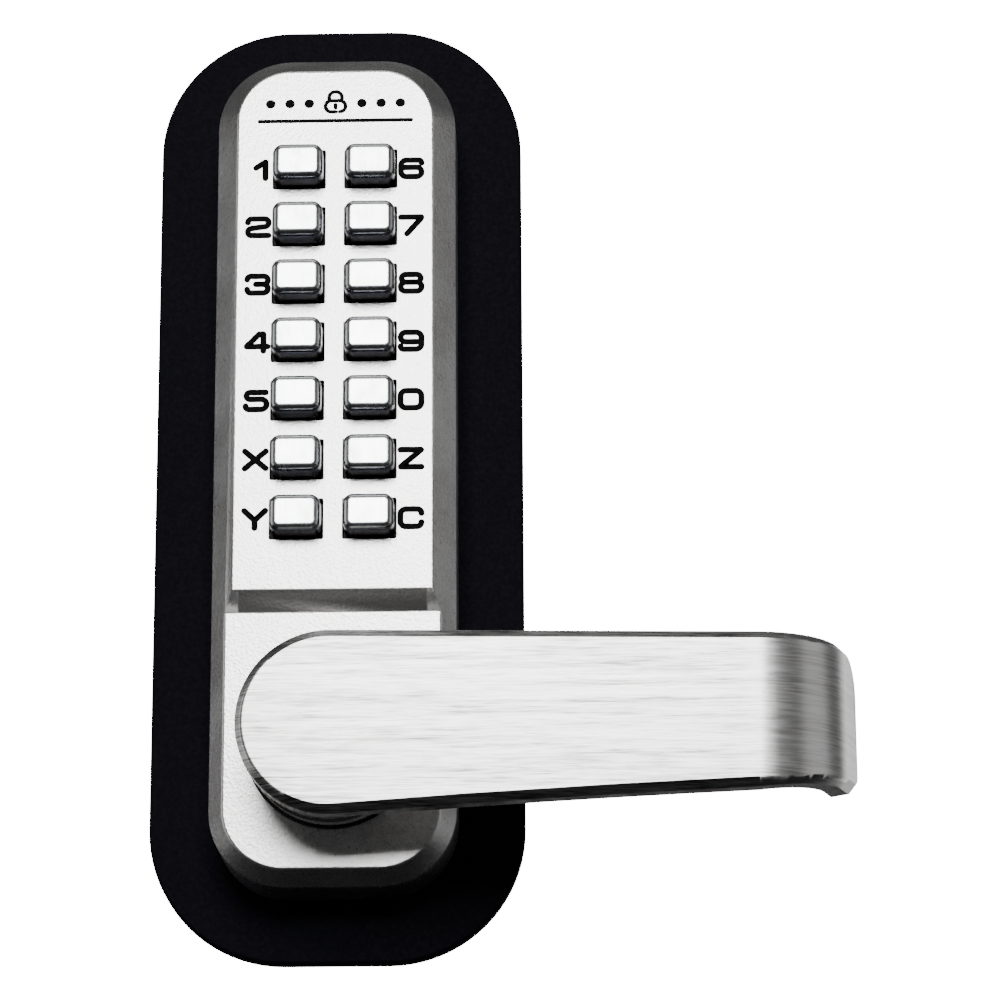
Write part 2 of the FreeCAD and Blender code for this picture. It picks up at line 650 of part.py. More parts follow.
def sketch_bend(sketch):
    """Side profile of the bar seen from above: straight, bent round, and a short return."""
    centre, along, outward = bend_points()
    left = Vector(value_of("hub_across - 2 * hub_radius"), value_of("-lever_front"), 0)
    radius, thick = value_of("bend_radius"), value_of("lever_thick")
    turn = math.radians(value_of("bend_angle"))
    down = Vector(0, -1, 0)
    points = [left, centre + down * radius, centre + outward * radius]
    points.append(points[2] + along * value_of("return_length"))
    points.append(points[3] - outward * thick)
    points.append(points[2] - outward * thick)
    points += [points[1] - down * thick, left - down * thick]
    front = sketch.addGeometry(Part.LineSegment(points[0], points[1]))
    outer = sketch.addGeometry(Part.ArcOfCircle(Part.Circle(centre, Vector(0, 0, 1), radius), -math.pi / 2,
                                                turn - math.pi / 2))
    flank = sketch.addGeometry(Part.LineSegment(points[2], points[3]))
    tip = sketch.addGeometry(Part.LineSegment(points[3], points[4]))
    inside = sketch.addGeometry(Part.LineSegment(points[4], points[5]))
    inner = sketch.addGeometry(Part.ArcOfCircle(Part.Circle(centre, Vector(0, 0, 1), radius - thick),
                                                -math.pi / 2, turn - math.pi / 2))
    back = sketch.addGeometry(Part.LineSegment(points[6], points[7]))
    end = sketch.addGeometry(Part.LineSegment(points[7], points[0]))
    joined = [("Tangent", front, 2, outer, 1), ("Tangent", outer, 2, flank, 1), ("Coincident", flank, 2, tip, 1),
              ("Coincident", tip, 2, inside, 1), ("Tangent", inside, 2, inner, 2), ("Tangent", inner, 1, back, 1),
              ("Coincident", back, 2, end, 1), ("Coincident", end, 2, front, 1), ("Coincident", outer, 3, inner, 3),
              ("Horizontal", front), ("Horizontal", back), ("Vertical", end), ("Perpendicular", flank, tip),
              ("Parallel", flank, inside)]
    for kind, *places in joined:
        sketch.addConstraint(Sketcher.Constraint(kind, *places))
    place_point(sketch, front, 1, "hub_across - 2 * hub_radius", "-lever_front")
    dimension(sketch, "DistanceX", (-1, 1, front, 2), "bend_start")
    dimension(sketch, "Radius", (outer,), "bend_radius")
    dimension(sketch, "Angle", (flank,), "bend_angle * 1 deg")
    dimension(sketch, "Distance", (flank,), "return_length")
    dimension(sketch, "Distance", (tip,), "lever_thick")


def sketch_bar_outline(sketch):
    """Front view of the lever: round hub end, straight top, slightly hollow underside."""
    hub = Vector(value_of("hub_across"), value_of("hub_up"), 0)
    radius = value_of("hub_radius")
    top = "bar_top_inner + (bar_top_outer - bar_top_inner) * (outline_end - hub_across) / (bend_start - hub_across)"
    corners = [("outline_end", top), ("outline_end", "tip_bottom"), ("bend_start", "bar_bottom_outer")]
    end_top, end_bottom, bend_bottom = [Vector(value_of(across), value_of(up), 0) for across, up in corners]
    hub_top = hub + Vector(0, radius, 0)
    hub_bottom = hub - Vector(0, radius, 0)
    upper = sketch.addGeometry(Part.LineSegment(hub_top, end_top))
    end = sketch.addGeometry(Part.LineSegment(end_top, end_bottom))
    rise = sketch.addGeometry(Part.LineSegment(end_bottom, bend_bottom))
    middle = (bend_bottom + hub_bottom) / 2 + Vector(0, value_of("bar_bottom_rise"), 0)
    hollow = sketch.addGeometry(Part.Arc(hub_bottom, middle, bend_bottom))
    round_end = sketch.addGeometry(Part.ArcOfCircle(Part.Circle(hub, Vector(0, 0, 1), radius), math.pi / 2,
                                                    3 * math.pi / 2))
    joined = [(upper, 2, end, 1), (end, 2, rise, 1), (rise, 2, hollow, 1), (hollow, 2, round_end, 2),
              (round_end, 1, upper, 1)]
    for places in joined:
        sketch.addConstraint(Sketcher.Constraint("Coincident", *places))
    for geometry, (across, up) in zip((end, rise, rise), corners):
        corner = 2 if (across, up) == corners[2] else 1
        place_point(sketch, geometry, corner, across, up)
    place_point(sketch, round_end, 3, "hub_across", "hub_up")
    dimension(sketch, "Radius", (round_end,), "hub_radius")
    dimension(sketch, "DistanceX", (-1, 1, round_end, 1), "hub_across")
    dimension(sketch, "DistanceX", (-1, 1, round_end, 2), "hub_across")
    chord = "((bend_start - hub_across)^2 + (bar_bottom_outer - bar_bottom_inner)^2)"
    dimension(sketch, "Radius", (hollow,), "%s / (8 * bar_bottom_rise) + bar_bottom_rise / 2" % chord)


def skin_depth(point):
    """Distance of a point inwards from the lever's outer skin."""
    centre, along, outward = bend_points()
    flat = Vector(point.x, point.y, 0) - centre
    if flat.x <= 0:
        return flat.y + value_of("bend_radius")
    if flat.dot(along) <= 0:
        return value_of("bend_radius") - flat.Length
    return value_of("bend_radius") - flat.dot(outward)


def skin_edges(body, depth):
    """Contour edges of the bar at a depth from its outer skin, without the seams across the bend."""
    wanted = value_of(depth)

    def test(middle, edge):
        ends = [vertex.Point for vertex in edge.Vertexes]
        across = max(abs(end.z - middle.z) for end in ends)
        centre, along, outward = bend_points()
        seam = across > wanted + 5 and middle.x < centre.x + value_of("bend_radius") - 0.5
        near_tip = (Vector(middle.x, middle.y, 0) - centre).dot(along) > value_of("return_length") - 0.5
        hub = middle.x < 0
        return abs(skin_depth(middle) - wanted) < 1e-3 and (hub or near_tip or across < 5) and not (seam and not hub)
    return edges_where(body, test)


def make_lever_handle():
    body = new_body("lever_handle")
    profile = new_sketch(body, "hub_up - 1.5 * hub_radius", "XY_Plane")
    sketch_bend(profile)
    pad(profile, "3 * hub_radius")
    trim = new_sketch(body, "0")
    beyond = "hub_radius / 4"
    sketch_bar_outline(trim)
    rectangle(trim, "hub_across - 3 * hub_radius", "outline_end + %s" % beyond,
              "hub_up - 2 * hub_radius", "hub_up + 2 * hub_radius")
    pocket(trim, "2 * lever_front")
    make_tip_round(body, "tip_top_round", True)
    make_tip_round(body, "tip_bottom_round", False)
    dress(body, "Chamfer", skin_edges(body, "0"), Size="lever_chamfer")
    doc.recompute()
    dress(body, "Chamfer", skin_edges(body, "lever_thick"), Size="lever_back_chamfer")
    doc.recompute()
    steps = [("neck_rear", "lever_front - lever_thick", "neck_radius"), ("shaft_step", "neck_rear", "shaft_radius"),
             ("journal_rear", "shaft_step", "journal_radius")]
    for rear, front, radius in steps:
        turned = new_sketch(body, rear)
        circle(turned, "0", "lever_up", radius)
        pad(turned, "%s - %s" % (front, rear))
    socket = new_sketch(body, "journal_rear")
    half = "socket_side / 2"
    rectangle(socket, "-" + half, half, "lever_up - " + half, "lever_up + " + half)
    pocket(socket, "socket_front - journal_rear")


def make_tip_round(body, radius, is_top):
    """Round one corner of the return's end, seen from the side."""
    centre, along, outward = bend_points()
    middle_up = value_of("hub_up")

    def test(middle, edge):
        at_end = (Vector(middle.x, middle.y, 0) - centre).dot(along) > value_of("return_length") - 1e-3
        flat = edge.BoundBox.ZLength < value_of("lever_thick") / 2
        return at_end and flat and (middle.z > middle_up) == is_top
    dress(body, "Fillet", edges_where(body, test), Radius=radius)
    doc.recompute()


def make_lever_bushing():
    body = new_body("lever_bushing")
    bore = "shaft_radius + sleeve_gap"
    sleeve = new_sketch(body, "sleeve_rear")
    circle(sleeve, "0", "lever_up", "sleeve_radius")
    circle(sleeve, "0", "lever_up", bore)
    pad(sleeve, "seal_front - sleeve_rear")
    groove = new_sketch(body, "lower_front - wall - ring_thick")
    circle(groove, "0", "lever_up", "sleeve_radius + base_gap")
    circle(groove, "0", "lever_up", "groove_radius")
    pocket(groove, "ring_thick")
    collar = new_sketch(body, "seal_front")
    circle(collar, "0", "lever_up", "collar_radius")
    circle(collar, "0", "lever_up", bore)
    pad(collar, "collar_front - seal_front")
    reach = value_of("collar_radius")
    rim = edges_where(body, lambda middle, edge: is_circle_of(edge, reach))
    dress(body, "Chamfer", rim, Size="collar_edge")


def is_circle_of(edge, radius):
    return hasattr(edge.Curve, "Radius") and abs(edge.Curve.Radius - radius) < 1e-3


def make_lever_seal():
    body = new_body("lever_seal")
    ring = new_sketch(body, "lower_front")
    circle(ring, "0", "lever_up", "seal_radius")
    circle(ring, "0", "lever_up", "sleeve_radius + sleeve_gap")
    pad(ring, "seal_front - lower_front")


def make_retaining_ring():
    body = new_body("retaining_ring")
    rear = "lower_front - wall - ring_thick"
    ring = new_sketch(body, rear)
    circle(ring, "0", "lever_up", "ring_radius")
    circle(ring, "0", "lever_up", "groove_radius")
    pad(ring, "ring_thick")
    gap = new_sketch(body, rear)
    rectangle(gap, "-ring_gap / 2", "ring_gap / 2", "lever_up - 2 * ring_radius", "lever_up")
    pocket(gap, "ring_thick")


def make_drive_cam():
    body = new_body("drive_cam")
    disc = new_sketch(body, "journal_rear")
    circle(disc, "0", "lever_up", "cam_radius")
    circle(disc, "0", "lever_up", "journal_radius")
    pad(disc, "shaft_step - journal_rear")
    lug = new_sketch(body, "journal_rear")
    half = "stop_reach * sin(lug_half_angle * 1 deg)"
    rectangle(lug, "-lug_reach", "-cam_radius + crank_radius", "lever_up - %s" % half, "lever_up + %s" % half)
    pad(lug, "shaft_step - journal_rear")
    crank = new_sketch(body, "crank_rear")
    circle(crank, "crank_reach", "lever_up", "crank_radius")
    pad(crank, "journal_rear - crank_rear")


def make_spindle():
    body = new_body("spindle")
    section = new_sketch(body, "spindle_rear")
    half = "spindle_side / 2"
    rectangle(section, "-" + half, half, "lever_up - " + half, "lever_up + " + half)
    pad(section, "spindle_front - spindle_rear")
    ends = edges_where(body, lambda middle, edge: edge.BoundBox.YLength < 1e-4)
    dress(body, "Chamfer", ends, Size="spindle_chamfer")


def make_mounting_posts():
    body = new_body("mounting_posts")
    ups = ("post_upper", "post_lower")
    front = "plate_front + base_thick"
    shanks = new_sketch(body, "post_rear")
    heads = new_sketch(body, front)
    threads = new_sketch(body, "post_rear")
    for up in ups:
        circle(shanks, "0", up, "post_radius")
        circle(heads, "0", up, "post_head_radius")
        circle(threads, "0", up, "post_thread")
    pad(shanks, "%s - post_rear" % front)
    pad(heads, "post_head")
    pocket(threads, "post_depth")


def make_case_screws():
    body = new_body("case_screws")
    shanks = new_sketch(body, "plate_front")
    heads = new_sketch(body, "plate_front")
    sockets = new_sketch(body, "plate_front")
    for across in ("boss_across", "-boss_across"):
        for up in ("boss_up", "-boss_up"):
            circle(shanks, across, up, "screw_radius")
            circle(heads, across, up, "screw_head_radius")
            circle(sockets, across, up, "screw_socket")
    pad(shanks, "screw_front - plate_front")
    pad(heads, "screw_head")
    pocket(sockets, "screw_socket_deep")


def check_document():
    """Stop before anything is written if an object or a shape is not sound."""
    doc.recompute()
    for thing in doc.Objects:
        if "Invalid" in thing.State or "Error" in thing.State:
            raise RuntimeError("failed object: " + thing.Name)
    for thing in subparts:
        if thing.Shape.isNull() or not thing.Shape.isValid() or thing.Shape.Volume <= 0:
            raise RuntimeError("bad shape: " + thing.Label)


def main():
    make_backing_plate()
    make_front_housing()
    make_base_plate()
    make_chamber_cover()
    make_spring_guide()
    make_chamber_block()
    make_clear_plate()
    make_locking_slide()
    for name, side, row in KEYS:
        make_key(name, side, row)
        if name != CLEAR_KEY:
            make_code_pin(name, side, row)
    make_springs()
    make_lever_return_spring()
    make_lever_handle()
    make_lever_bushing()
    make_lever_seal()
    make_retaining_ring()
    make_drive_cam()
    make_spindle()
    make_mounting_posts()
    make_case_screws()
    check_document()
    os.makedirs("parts", exist_ok=True)
    for thing in subparts:
        thing.Shape.exportStep("parts/%s.step" % thing.Label)
        print(thing.Label, len(thing.Shape.Solids), round(thing.Shape.Volume, 1))


main()
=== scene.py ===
import json
import math

import bmesh
import bpy
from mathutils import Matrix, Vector


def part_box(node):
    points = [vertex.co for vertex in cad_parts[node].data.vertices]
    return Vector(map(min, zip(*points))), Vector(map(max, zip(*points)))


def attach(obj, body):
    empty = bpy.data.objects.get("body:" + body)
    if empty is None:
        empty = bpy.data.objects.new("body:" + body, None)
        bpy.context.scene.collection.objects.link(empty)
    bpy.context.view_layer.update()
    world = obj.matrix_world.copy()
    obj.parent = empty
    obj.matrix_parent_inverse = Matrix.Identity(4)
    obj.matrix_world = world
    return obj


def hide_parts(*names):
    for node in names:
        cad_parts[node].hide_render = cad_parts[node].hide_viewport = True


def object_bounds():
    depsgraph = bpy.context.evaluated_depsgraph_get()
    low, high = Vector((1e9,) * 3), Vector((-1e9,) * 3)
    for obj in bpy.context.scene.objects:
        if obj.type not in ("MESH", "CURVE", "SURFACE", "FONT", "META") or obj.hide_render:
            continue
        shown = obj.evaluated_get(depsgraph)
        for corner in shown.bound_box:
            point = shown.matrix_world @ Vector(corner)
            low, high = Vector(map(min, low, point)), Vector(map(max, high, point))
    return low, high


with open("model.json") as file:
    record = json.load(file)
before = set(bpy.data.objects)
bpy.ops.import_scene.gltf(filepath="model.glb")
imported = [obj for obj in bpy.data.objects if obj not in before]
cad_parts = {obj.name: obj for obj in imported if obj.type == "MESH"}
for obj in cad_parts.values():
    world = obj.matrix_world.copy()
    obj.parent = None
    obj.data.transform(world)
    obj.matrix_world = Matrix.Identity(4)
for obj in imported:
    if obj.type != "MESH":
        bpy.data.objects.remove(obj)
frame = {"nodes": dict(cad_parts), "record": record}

cad_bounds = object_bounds()
MM = 0.001

# The step between the housing's upper and lower faces.
STEP_TOP = -28.5 * MM
STEP_BOTTOM = -33.2 * MM
STEP_HALF_WIDE = 19.5 * MM
# Where the lever's bar starts to bend back.
BEND_START = 85.0 * MM

LEFT_KEYS = ["1", "2", "3", "4", "5", "x", "y"]
RIGHT_KEYS = ["6", "7", "8", "9", "0", "z", "c"]


# ---------------------------------------------------------------- shader kit

class Value:
    """A number in a shader, from a socket. Sums on it add Math nodes."""

    def __init__(self, finish, socket):
        self.finish = finish
        self.socket = socket

    def combine(self, operation, first, second):
        return self.finish.node("ShaderNodeMath", {"operation": operation}, {0: first, 1: second})

    def __add__(self, other):
        return self.combine("ADD", self, other)

    def __radd__(self, other):
        return self.combine("ADD", other, self)

    def __mul__(self, other):
        return self.combine("MULTIPLY", self, other)

    def __rmul__(self, other):
        return self.combine("MULTIPLY", other, self)


class Finish:
    """One material on a Principled shader, with a short way to add nodes."""

    def __init__(self, name, **constants):
        self.material = bpy.data.materials.new(name)
        self.material.use_nodes = True
        self.tree = self.material.node_tree
        self.shader = self.tree.nodes["Principled BSDF"]
        for title, amount in constants.items():
            self.shader.inputs[title.replace("_", " ")].default_value = amount
        self.place = self.node("ShaderNodeTexCoord", {}, {}, "Object")

    def node(self, kind, settings, inputs, output=0):
        """Add a node; inputs may be numbers, colours or other nodes' values."""
        node = self.tree.nodes.new(kind)
        for name, setting in settings.items():
            setattr(node, name, setting)
        for key, given in inputs.items():
            self.feed(node.inputs[key], given)
        return Value(self, node.outputs[output])

    def feed(self, socket, given):
        if isinstance(given, Value):
            self.tree.links.new(given.socket, socket)
        else:
            socket.default_value = given

    def stretched(self, scale):
        """The piece's own coordinates, scaled along each axis."""
        return self.node("ShaderNodeMapping", {}, {"Vector": self.place, "Scale": scale})

    def noise(self, scale, detail=3.0, rough=0.55, grain=(1, 1, 1)):
        """Noise about 0.5, with its cells longer where grain is smaller."""
        settings = {"Vector": self.stretched(grain), "Scale": scale, "Detail": detail, "Roughness": rough}
        return self.node("ShaderNodeTexNoise", {}, settings)

    def axis(self, number):
        """One of the piece's own coordinates, 0 to 2 for X to Z."""
        return self.node("ShaderNodeSeparateXYZ", {}, {"Vector": self.place}, number)

    def cells(self, scale):
        """Distance from the middle of the nearest cell."""
        return self.node("ShaderNodeTexVoronoi", {}, {"Vector": self.place, "Scale": scale}, "Distance")

    def within(self, value, low, high, start=0.0, end=1.0):
        """Spread the values from low to high over start to end, held at both ends."""
        numbers = {"Value": value, "From Min": low, "From Max": high, "To Min": start, "To Max": end}
        return self.node("ShaderNodeMapRange", {"clamp": True}, numbers)

    def blend(self, amount, first, second):
        """Mix two colours."""
        inputs = {0: amount, 6: first, 7: second}
        return self.node("ShaderNodeMix", {"data_type": "RGBA"}, inputs, 2)

    def height(self, value, depth, strength):
        """Relief from a value, its full range standing depth metres high."""
        inputs = {"Height": value, "Distance": depth, "Strength": strength}
        self.feed(self.shader.inputs["Normal"], self.node("ShaderNodeBump", {}, inputs))

    def colour(self, value):
        self.feed(self.shader.inputs["Base Color"], value)

    def roughness(self, value):
        self.feed(self.shader.inputs["Roughness"], value)


# Painted shade colours for the keys' sides, and painted shadow black for the part behind the window.
PAINTED_SHADE_BLUE = (0.06, 0.07, 0.11, 1.0)
PAINTED_SHADE_BROWN = (0.17, 0.155, 0.155, 1.0)
PAINTED_SHADOW_BLACK = (0.004, 0.004, 0.004, 1.0)


def grey(level, tint=0.0):
    """A grey, a little warmer or cooler with tint."""
    return (level * (1 + tint), level, level * (1 - tint), 1.0)


def brushed_satin():
    """Lever: stainless look with long brush lines along it, a few nicks, and painted light on the bend."""
    finish = Finish("satin_lever", Metallic=1.0)
    lines = finish.noise(2600, 4, 0.6, (0.05, 0.05, 1.0))
    broad = finish.noise(900, 3, 0.6, (0.03, 0.03, 1.0))
    nicks = finish.within(finish.cells(110), 0.0, 0.03, 1.0, 0.0)
    shade = finish.within(lines * 0.6 + broad * 0.4, 0.36, 0.56)
    # Painted light: from the start of the bend the dark of the brush lines is raised, so the bend is
    # painted lighter and more even.
    bend_painted_light = finish.within(finish.axis(0), BEND_START - 6 * MM, BEND_START + 6 * MM)
    streak_dark_and_bend_painted_light = finish.blend(bend_painted_light, grey(0.20, 0.02), grey(0.58, 0.015))
    brushed = finish.blend(shade, streak_dark_and_bend_painted_light, grey(0.84, 0.008))
    finish.colour(finish.blend(nicks * 0.4, brushed, grey(0.35)))
    finish.roughness(finish.within(lines, 0.25, 0.75, 0.27, 0.38) + nicks * 0.1)
    finish.height(lines, 0.00003, 0.6)
    return finish.material


def cast_satin():
    """Housing: fine cast grain under satin plating, soft mottling, and painted shade on the step between
    its faces, which is also rougher.
    """
    finish = Finish("cast_housing", Metallic=1.0)
    grain = finish.noise(3200, 3, 0.7)
    pebbles = finish.cells(1500)
    mottle = finish.noise(60, 4, 0.6)
    specks = finish.within(finish.noise(900, 2, 0.6), 0.62, 0.72)
    cloud = finish.within(mottle * 0.5 + grain * 0.5, 0.38, 0.62)
    clean = finish.blend(cloud, grey(0.72, 0.016), grey(0.94, 0.006))
    worn = finish.blend(specks * 0.45, clean, grey(0.40, 0.02))
    across = finish.node("ShaderNodeMath", {"operation": "ABSOLUTE"}, {0: finish.axis(0)})
    up = finish.axis(2)
    # Painted shade: the step between the upper and lower faces is coloured dark grey.
    under_top = finish.within(up, STEP_TOP, STEP_TOP - 0.4 * MM)
    over_bottom = finish.within(up, STEP_BOTTOM, STEP_BOTTOM + 0.3 * MM)
    step_painted_shade = under_top * over_bottom * finish.within(across, STEP_HALF_WIDE, STEP_HALF_WIDE - 0.4 * MM)
    finish.colour(finish.blend(step_painted_shade, worn, grey(0.20, 0.02)))
    finish.roughness(finish.within(grain * 0.5 + mottle * 0.5, 0.35, 0.65, 0.27, 0.37) + step_painted_shade * 0.2)
    finish.height(grain * 0.6 + pebbles * 0.6, 0.00009, 0.6)
    return finish.material


def polished_plate(name="polished", crown=None, window=None):
    """Keys and collar: bright plating with faint scuffs and finger haze.

    On the keys, painted shade darkens the rounded edges and the sides behind the crown, and painted shadow
    turns the part behind the window black.
    """
    finish = Finish(name, Metallic=1.0)
    scuffs = finish.noise(900, 5, 0.7, (1.0, 0.3, 0.25))
    haze = finish.noise(190, 3, 0.6)
    bright = finish.blend(finish.within(haze, 0.35, 0.7), grey(0.88, -0.012), grey(0.80, -0.02))
    worn = 0.0
    if crown is not None:
        worn = 0.12
        # Painted shade by depth: the rounded edges and sides go dark, and behind the window painted shadow
        # goes black.
        depth = finish.axis(1)
        edge = finish.within(depth + haze * (0.2 * MM), crown + 0.1 * MM, crown + 1.3 * MM)
        towards_back = finish.within(depth, crown + 1.4 * MM, crown + 5 * MM)
        window_painted_shadow = finish.within(depth, window - 0.4 * MM, window + 0.4 * MM)
        side = finish.blend(window_painted_shadow, finish.blend(towards_back, PAINTED_SHADE_BLUE, PAINTED_SHADE_BROWN), PAINTED_SHADOW_BLACK)
        bright = finish.blend(edge, bright, side)
    finish.colour(bright)
    rubbed = finish.within(haze, 0.4, 0.7, worn, worn + 0.06)
    finish.roughness(finish.within(scuffs, 0.4, 0.75, 0.07, 0.16) + rubbed)
    finish.height(scuffs, 0.00001, 0.25)
    return finish.material


def matt_black():
    """Backing plate: powder coat with a fine orange peel and a little dust."""
    finish = Finish("black_plate", Specular_IOR_Level=0.07)
    peel = finish.noise(1400, 2, 0.5)
    dust = finish.within(finish.noise(85, 5, 0.65), 0.5, 0.8)
    finish.colour(finish.blend(dust * 0.5, (0.0036, 0.0032, 0.0068, 1.0), (0.0075, 0.0070, 0.0125, 1.0)))
    finish.roughness(finish.within(peel, 0.3, 0.7, 0.62, 0.8) + dust * 0.1)
    finish.height(peel, 0.00008, 0.4)
    return finish.material


def moulded_rubber():
    """Ring under the collar: black rubber with a little bloom."""
    finish = Finish("seal", Specular_IOR_Level=0.35)
    bloom = finish.noise(300, 4, 0.6)
    finish.colour(finish.blend(finish.within(bloom, 0.4, 0.7), grey(0.006), grey(0.02)))
    finish.roughness(finish.within(bloom, 0.3, 0.7, 0.6, 0.8))
    finish.height(finish.noise(2500, 2), 0.00003, 0.4)
    return finish.material


def zinc_plated():
    """Spindle, posts and screws: plated steel with a pale, slightly yellow-blue cloud."""
    finish = Finish("steel", Metallic=1.0)
    cloud = finish.within(finish.noise(120, 3, 0.6), 0.3, 0.7)
    lines = finish.noise(1500, 3, 0.6, (1.0, 0.05, 1.0))
    finish.colour(finish.blend(cloud, (0.55, 0.56, 0.60, 1.0), (0.66, 0.63, 0.56, 1.0)))
    finish.roughness(finish.within(lines, 0.3, 0.7, 0.28, 0.45))
    finish.height(lines, 0.00002, 0.5)
    return finish.material


def spring_wire():
    """Springs and retaining ring: drawn steel wire."""
    finish = Finish("spring_steel", Metallic=1.0)
    drawn = finish.noise(2400, 3, 0.6)
    finish.colour(finish.blend(finish.within(drawn, 0.35, 0.65), grey(0.40, 0.02), grey(0.58, 0.01)))
    finish.roughness(finish.within(drawn, 0.3, 0.7, 0.22, 0.4))
    finish.height(drawn, 0.00001, 0.4)
    return finish.material


def die_cast():
    """Guide block: bare zinc casting with flow marks."""
    finish = Finish("zinc", Metallic=1.0)
    flow = finish.noise(140, 5, 0.65, (1.0, 1.0, 0.4))
    skin = finish.noise(1800, 2, 0.6)
    finish.colour(finish.blend(finish.within(flow, 0.35, 0.65), grey(0.36, -0.02), grey(0.50, -0.01)))
    finish.roughness(finish.within(skin * 0.5 + flow * 0.5, 0.3, 0.7, 0.4, 0.62))
    finish.height(skin, 0.00005, 0.5)
    return finish.material


def turned_brass():
    """Pins, spring guide and slide: turned brass, a little tarnished."""
    finish = Finish("brass", Metallic=1.0)
    turned = finish.noise(1900, 3, 0.6, (1.0, 0.08, 1.0))
    tarnish = finish.within(finish.noise(160, 4, 0.6), 0.45, 0.75)
    finish.colour(finish.blend(tarnish, (0.80, 0.58, 0.25, 1.0), (0.55, 0.36, 0.14, 1.0)))
    finish.roughness(finish.within(turned, 0.3, 0.7, 0.2, 0.36) + tarnish * 0.12)
    finish.height(turned, 0.00001, 0.5)
    return finish.material


def legend_paint():
    """Filled legends: black enamel, slightly uneven."""
    finish = Finish("legend_paint", Specular_IOR_Level=0.04)
    fill = finish.noise(1300, 3, 0.6)
    finish.colour(finish.blend(finish.within(fill, 0.4, 0.7), grey(0.003), grey(0.010)))
    finish.roughness(finish.within(fill, 0.3, 0.7, 0.6, 0.8))
    finish.height(fill, 0.00003, 0.4)
    return finish.material


FINISHES = {
    "black_plate": matt_black(), "cast_housing": cast_satin(), "satin_lever": brushed_satin(),
    "polished": polished_plate(), "seal": moulded_rubber(), "steel": zinc_plated(),
    "spring_steel": spring_wire(), "zinc": die_cast(), "brass": turned_brass(),
}
KEY_PLATING = polished_plate("key_plating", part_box("key_1")[0].y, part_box("front_housing")[0].y)
PAINT = legend_paint()


# ---------------------------------------------------------------- carried-over nodes

SLOT_OF = {entry["node"]: entry["material_slot"] for entry in frame["record"]["subparts"]}


def finish_of(node):
    """Finish of a node from its slot, with the keys' own plating and its painted shade."""
    return KEY_PLATING if node.startswith("key_") else FINISHES[SLOT_OF[node]]


def dress_nodes():
    """Give every node of the frame its finish."""
    for name, thing in frame["nodes"].items():
        thing.data.materials.clear()
        thing.data.materials.append(finish_of(name))


def body_holding(node):
    """Name of the moving body that a node belongs to."""
    for body, nodes in frame["record"]["behaviour"]["bodies"].items():
        if node in nodes:
            return body


WELD_WITHIN = 0.002 * MM
FLAT_WITHIN = math.radians(0.3)
SOFTEN_OVER = math.radians(40)


def refined(node, sharp, edge=0.0):
    """A smooth-shaded copy of a node with its triangles joined and, if asked, its sharp edges softened."""
    source = frame["nodes"][node]
    mesh = bmesh.new()
    mesh.from_mesh(source.data)
    bmesh.ops.remove_doubles(mesh, verts=mesh.verts, dist=WELD_WITHIN)
    bmesh.ops.dissolve_limit(mesh, angle_limit=FLAT_WITHIN, verts=mesh.verts, edges=mesh.edges)
    data = bpy.data.meshes.new(node + "_finished")
    mesh.to_mesh(data)
    mesh.free()
    data.materials.append(finish_of(node))
    data.shade_smooth()
    data.set_sharp_from_angle(angle=math.radians(sharp))
    piece = bpy.data.objects.new(node + "_finished", data)
    bpy.context.scene.collection.objects.link(piece)
    if edge:
        soften = piece.modifiers.new("edge", "BEVEL")
        soften.width = edge
        soften.segments = 2
        soften.limit_method = "ANGLE"
        soften.angle_limit = SOFTEN_OVER
        soften.harden_normals = True
    even = piece.modifiers.new("even_normals", "WEIGHTED_NORMAL")
    even.keep_sharp = True
    even.weight = 100
    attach(piece, body_holding(node))
    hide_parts(node)
    return piece


# ---------------------------------------------------------------- legends

# Strokes of each legend on a grid 1 wide and 1 high. A stroke that ends where it starts is closed.
LEGENDS = {
    "1": [[(0.36, 0.64), (0.82, 1.0), (0.82, 0.0)]],
    "2": [[(0.0, 0.78), (0.0, 1.0), (1.0, 1.0), (1.0, 0.56), (0.0, 0.40), (0.0, 0.0), (1.0, 0.0)]],
    "3": [[(0.0, 0.80), (0.0, 1.0), (1.0, 1.0), (1.0, 0.52), (0.42, 0.52)],
          [(0.42, 0.52), (1.0, 0.52), (1.0, 0.0), (0.0, 0.0), (0.0, 0.22)]],
    "4": [[(0.82, 0.0), (0.82, 1.0), (0.62, 1.0), (0.0, 0.26), (1.02, 0.26)]],
    "5": [[(0.96, 1.0), (0.04, 1.0), (0.04, 0.60), (1.0, 0.60), (1.0, 0.0), (0.0, 0.0), (0.0, 0.20)]],
    "6": [[(1.0, 0.82), (1.0, 1.0), (0.0, 1.0), (0.0, 0.0), (1.0, 0.0), (1.0, 0.56), (0.06, 0.56)]],
    "7": [[(0.0, 1.0), (1.0, 1.0), (0.94, 0.86), (0.30, 0.0)]],
    "8": [[(0.5, 0.54), (0.96, 0.54), (0.96, 1.0), (0.04, 1.0), (0.04, 0.54), (0.5, 0.54)],
          [(0.5, 0.54), (1.0, 0.54), (1.0, 0.0), (0.0, 0.0), (0.0, 0.54), (0.5, 0.54)]],
    "9": [[(0.0, 0.18), (0.0, 0.0), (1.0, 0.0), (1.0, 1.0), (0.0, 1.0), (0.0, 0.44), (0.94, 0.44)]],
    "0": [[(0.5, 0.0), (1.0, 0.0), (1.0, 1.0), (0.0, 1.0), (0.0, 0.0), (0.5, 0.0)]],
    "x": [[(0.0, 1.0), (1.0, 0.0)], [(0.0, 0.0), (1.0, 1.0)]],
    "y": [[(0.0, 1.0), (0.5, 0.44), (1.0, 1.0)], [(0.5, 0.44), (0.5, 0.0)]],
    "z": [[(0.0, 1.0), (1.0, 1.0), (0.0, 0.0), (1.0, 0.0)]],
    "c": [[(1.0, 0.76), (1.0, 1.0), (0.0, 1.0), (0.0, 0.0), (1.0, 0.0), (1.0, 0.24)]],
}
